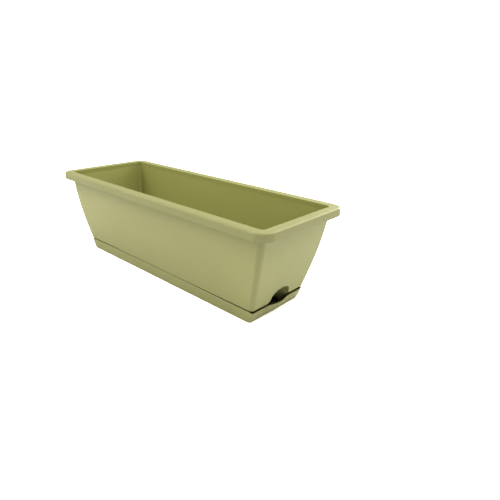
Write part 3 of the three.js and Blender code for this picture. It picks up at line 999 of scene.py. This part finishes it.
def shape_lip(sweep, sizes):
    """Lets the tray's lip fall to the corners and lie lower on the ends, and draws it out at the
    spouts. What a point moves by grows evenly from nothing at the floor to all of it at the lip."""
    floor = sizes.tray_floor_sheet
    lip = sizes.seam_height - sizes.tray_seam_gap
    bpy.ops.mesh.select_all(action="DESELECT")
    for cap, outline in sweep.rings:
        mesh = edit_points()
        places = {index: mesh.verts[index].co.copy() for index in cap}
        rise = (next(iter(places.values())).z - floor) / (lip - floor)
        if rise <= 0:
            continue
        corner_x = outline.half_length - outline.radius
        groups = {}
        for index, place in places.items():
            into_corner = min(max((abs(place.x) - corner_x) / outline.radius, 0), 1)
            end_share = into_corner**2 * (3 - 2 * into_corner)
            spout = 0
            if abs(place.y) < sizes.spout_half_span:
                spout = math.cos(math.pi * place.y / (2 * sizes.spout_half_span)) ** 2
            drop = (
                sizes.tray_corner_drop * (place.x / outline.half_length) ** 2
                + (sizes.tray_end_drop - sizes.tray_corner_drop) * end_share
                + sizes.spout_dip * spout
            )
            key = (round(rise * drop / MM, 4), round(rise * sizes.spout_bulge * spout / MM, 4))
            groups.setdefault(key, []).append(index)
        for (drop, bulge), indices in groups.items():
            take_points(cap, indices)
            bpy.ops.transform.translate(value=(0, 0, -drop * MM))
            if bulge:
                stretch = (1 + bulge * MM / outline.half_length, 1, 1)
                bpy.ops.transform.resize(value=stretch, center_override=(0, 0, 0))
        take_points(cap, [])


class PLANTER_OT_tray(bpy.types.Operator):
    """Model the drip tray with its lowered ends, spouts and cross ribs"""

    bl_idname = "planter.tray"
    bl_label = "Drip tray"

    def execute(self, context):
        sizes = context.scene.planter_sizes
        tray = tray_shell(sizes)
        half = sizes.tray_rib_sheet / 2
        reach = sizes.tray_rib_reach
        low = sizes.tray_floor_sheet / 2
        high = sizes.tray_floor_sheet + sizes.tray_rib_height
        rib = block_tool("tray_rib", (-half, -reach, low), (half, reach, high))
        ribs = repeated(rib, row(sizes.feet_along - 1, sizes.foot_pitch_along))
        combine(tray, ribs, "UNION")
        radius = sizes.gate_radius
        mark = round_tool("gate_mark", -CUT_MARGIN, sizes.gate_depth, radius, radius)
        combine(tray, repeated(mark, row(sizes.gate_marks, sizes.gate_pitch)), "DIFFERENCE")
        smooth_finish(tray)
        dress(tray, (grained_side(context),), "tray", "drip_tray")
        return {"FINISHED"}


def tray_shell(sizes):
    """The tray's shell, swept from its underside up the outer face, over the lip and down."""
    steps = sizes.rounding_steps
    lip = sizes.seam_height - sizes.tray_seam_gap
    floor = sizes.tray_floor_sheet
    foot = sizes.tray_foot_rounding
    rounding = sizes.edge_rounding
    sweep = Sweep(
        "tray_moulding", drawn_in(tray_outline(sizes, 0), foot), 0, sizes.corner_steps,
        sizes.end_cuts, sizes.side_cuts,
    )
    for sine, cosine in quarter(steps)[1:]:
        sweep.to(drawn_in(tray_outline(sizes, 0), foot * (1 - sine)), foot * (1 - cosine))
    for height in climb(floor, lip - rounding, sizes.tray_steps):
        sweep.to(tray_outline(sizes, height), height)
    for sine, cosine in quarter(steps)[1:]:
        height = lip - rounding * (1 - sine)
        sweep.to(drawn_in(tray_outline(sizes, height), rounding * (1 - cosine)), height)
    for sine, cosine in quarter(steps):
        height = lip - rounding * (1 - cosine)
        inward = sizes.tray_sheet - rounding * (1 - sine)
        sweep.to(drawn_in(tray_outline(sizes, height), inward), height)
    fillet_top = floor + sizes.tray_fillet
    for height in climb(lip - rounding, fillet_top, sizes.tray_steps)[1:]:
        sweep.to(drawn_in(tray_outline(sizes, height), sizes.tray_sheet), height)
    for sine, cosine in quarter(steps)[1:]:
        height = floor + sizes.tray_fillet * (1 - sine)
        inward = sizes.tray_sheet + sizes.tray_fillet * (1 - cosine)
        sweep.to(drawn_in(tray_outline(sizes, height), inward), height)
    shape_lip(sweep, sizes)
    return sweep.finish()


class PLANTER_OT_stage(bpy.types.Operator):
    """Set up the pale floor, the soft studio light and the camera"""

    bl_idname = "planter.stage"
    bl_label = "Stage"

    def execute(self, context):
        set_camera(context)
        set_floor(context)
        set_lights(context)
        return {"FINISHED"}


def set_camera(context):
    """The photograph's camera."""
    view = context.scene.planter_camera
    data = bpy.data.cameras.new("photo_camera")
    data.sensor_width = 36
    data.lens = 36 * view.focal_share
    data.shift_x = 0.5 - view.centre_across
    data.shift_y = view.centre_down - 0.5
    camera = bpy.data.objects.new("photo_camera", data)
    context.scene.collection.objects.link(camera)
    back = Vector((
        math.sin(view.azimuth) * math.cos(view.elevation),
        -math.cos(view.azimuth) * math.cos(view.elevation),
        math.sin(view.elevation),
    ))
    right = Vector((math.cos(view.azimuth), math.sin(view.azimuth), 0))
    up = back.cross(right)
    rolled_right = right * math.cos(view.roll) + up * math.sin(view.roll)
    rolled_up = up * math.cos(view.roll) - right * math.sin(view.roll)
    turn = Matrix((rolled_right, rolled_up, back)).transposed().to_4x4()
    camera.matrix_world = Matrix.Translation(view.place) @ turn
    context.scene.camera = camera


def set_floor(context):
    """A wide pale floor, which runs on behind the object."""
    deselect_all()
    bpy.ops.mesh.primitive_plane_add(size=12, location=(0, 0, -0.1 * MM))
    floor = placed("studio_floor")
    floor.data.materials.append(plain_white(context.scene.planter_colours))


def area_light(context, name, place, aim, size, power):
    """A square soft box that faces a point."""
    data = bpy.data.lights.new(name, "AREA")
    data.shape = "SQUARE"
    data.size = size
    data.energy = power
    light = bpy.data.objects.new(name, data)
    context.scene.collection.objects.link(light)
    light.location = place
    light.rotation_euler = (Vector(aim) - Vector(place)).to_track_quat("-Z", "Y").to_euler()


def set_lights(context):
    """A white room with four soft boxes. Its brightness, their powers, the exposure and the gamma
    are fitted to the brightness of the photograph's faces."""
    world = bpy.data.worlds.new("white_room")
    world.use_nodes = True
    background = world.node_tree.nodes["Background"]
    background.inputs["Color"].default_value = (1, 1, 1, 1)
    background.inputs["Strength"].default_value = 0.77
    context.scene.world = world
    tone = context.scene.view_settings
    tone.view_transform = "Standard"
    tone.exposure = 0.43
    tone.gamma = 0.645
    middle = (0, 0, 80 * MM)
    area_light(context, "right_box", (0.65, 0.1, 1.6), middle, 1.2, 14.4)
    area_light(context, "back_box", (0.2, 1.8, 1), middle, 1.2, 27)
    area_light(context, "front_left_box", (-0.8, -0.9, 1.5), middle, 1, 15.8)
    area_light(context, "low_left_box", (-1.1, -1.4, 0.8), middle, 1, 4.2)


class PLANTER_PT_panel(bpy.types.Panel):
    """Sizes, colours and steps of the planter"""

    bl_label = "Balcony planter"
    bl_space_type = "VIEW_3D"
    bl_region_type = "UI"
    bl_category = "Planter"

    def draw(self, context):
        column = self.layout.column()
        for operator in (PLANTER_OT_trough, PLANTER_OT_tray, PLANTER_OT_stage):
            column.operator(operator.bl_idname)
        for group in (context.scene.planter_colours, context.scene.planter_sizes):
            box = self.layout.box()
            for name in group.__annotations__:
                box.prop(group, name)


GROUPS = {
    "planter_sizes": PlanterSizes,
    "planter_colours": PlanterColours,
    "planter_camera": PlanterCamera,
}
CLASSES = (
    PlanterSizes, PlanterColours, PlanterCamera, PLANTER_OT_trough, PLANTER_OT_tray,
    PLANTER_OT_stage, PLANTER_PT_panel,
)


def register():
    for item in CLASSES:
        bpy.utils.register_class(item)
    for name, group in GROUPS.items():
        setattr(bpy.types.Scene, name, bpy.props.PointerProperty(type=group))


def unregister():
    for name in GROUPS:
        delattr(bpy.types.Scene, name)
    for item in reversed(CLASSES):
        bpy.utils.unregister_class(item)


def main():
    register()
    bpy.ops.planter.trough()
    bpy.ops.planter.tray()
    bpy.ops.planter.stage()


if __name__ == "__main__":
    main()
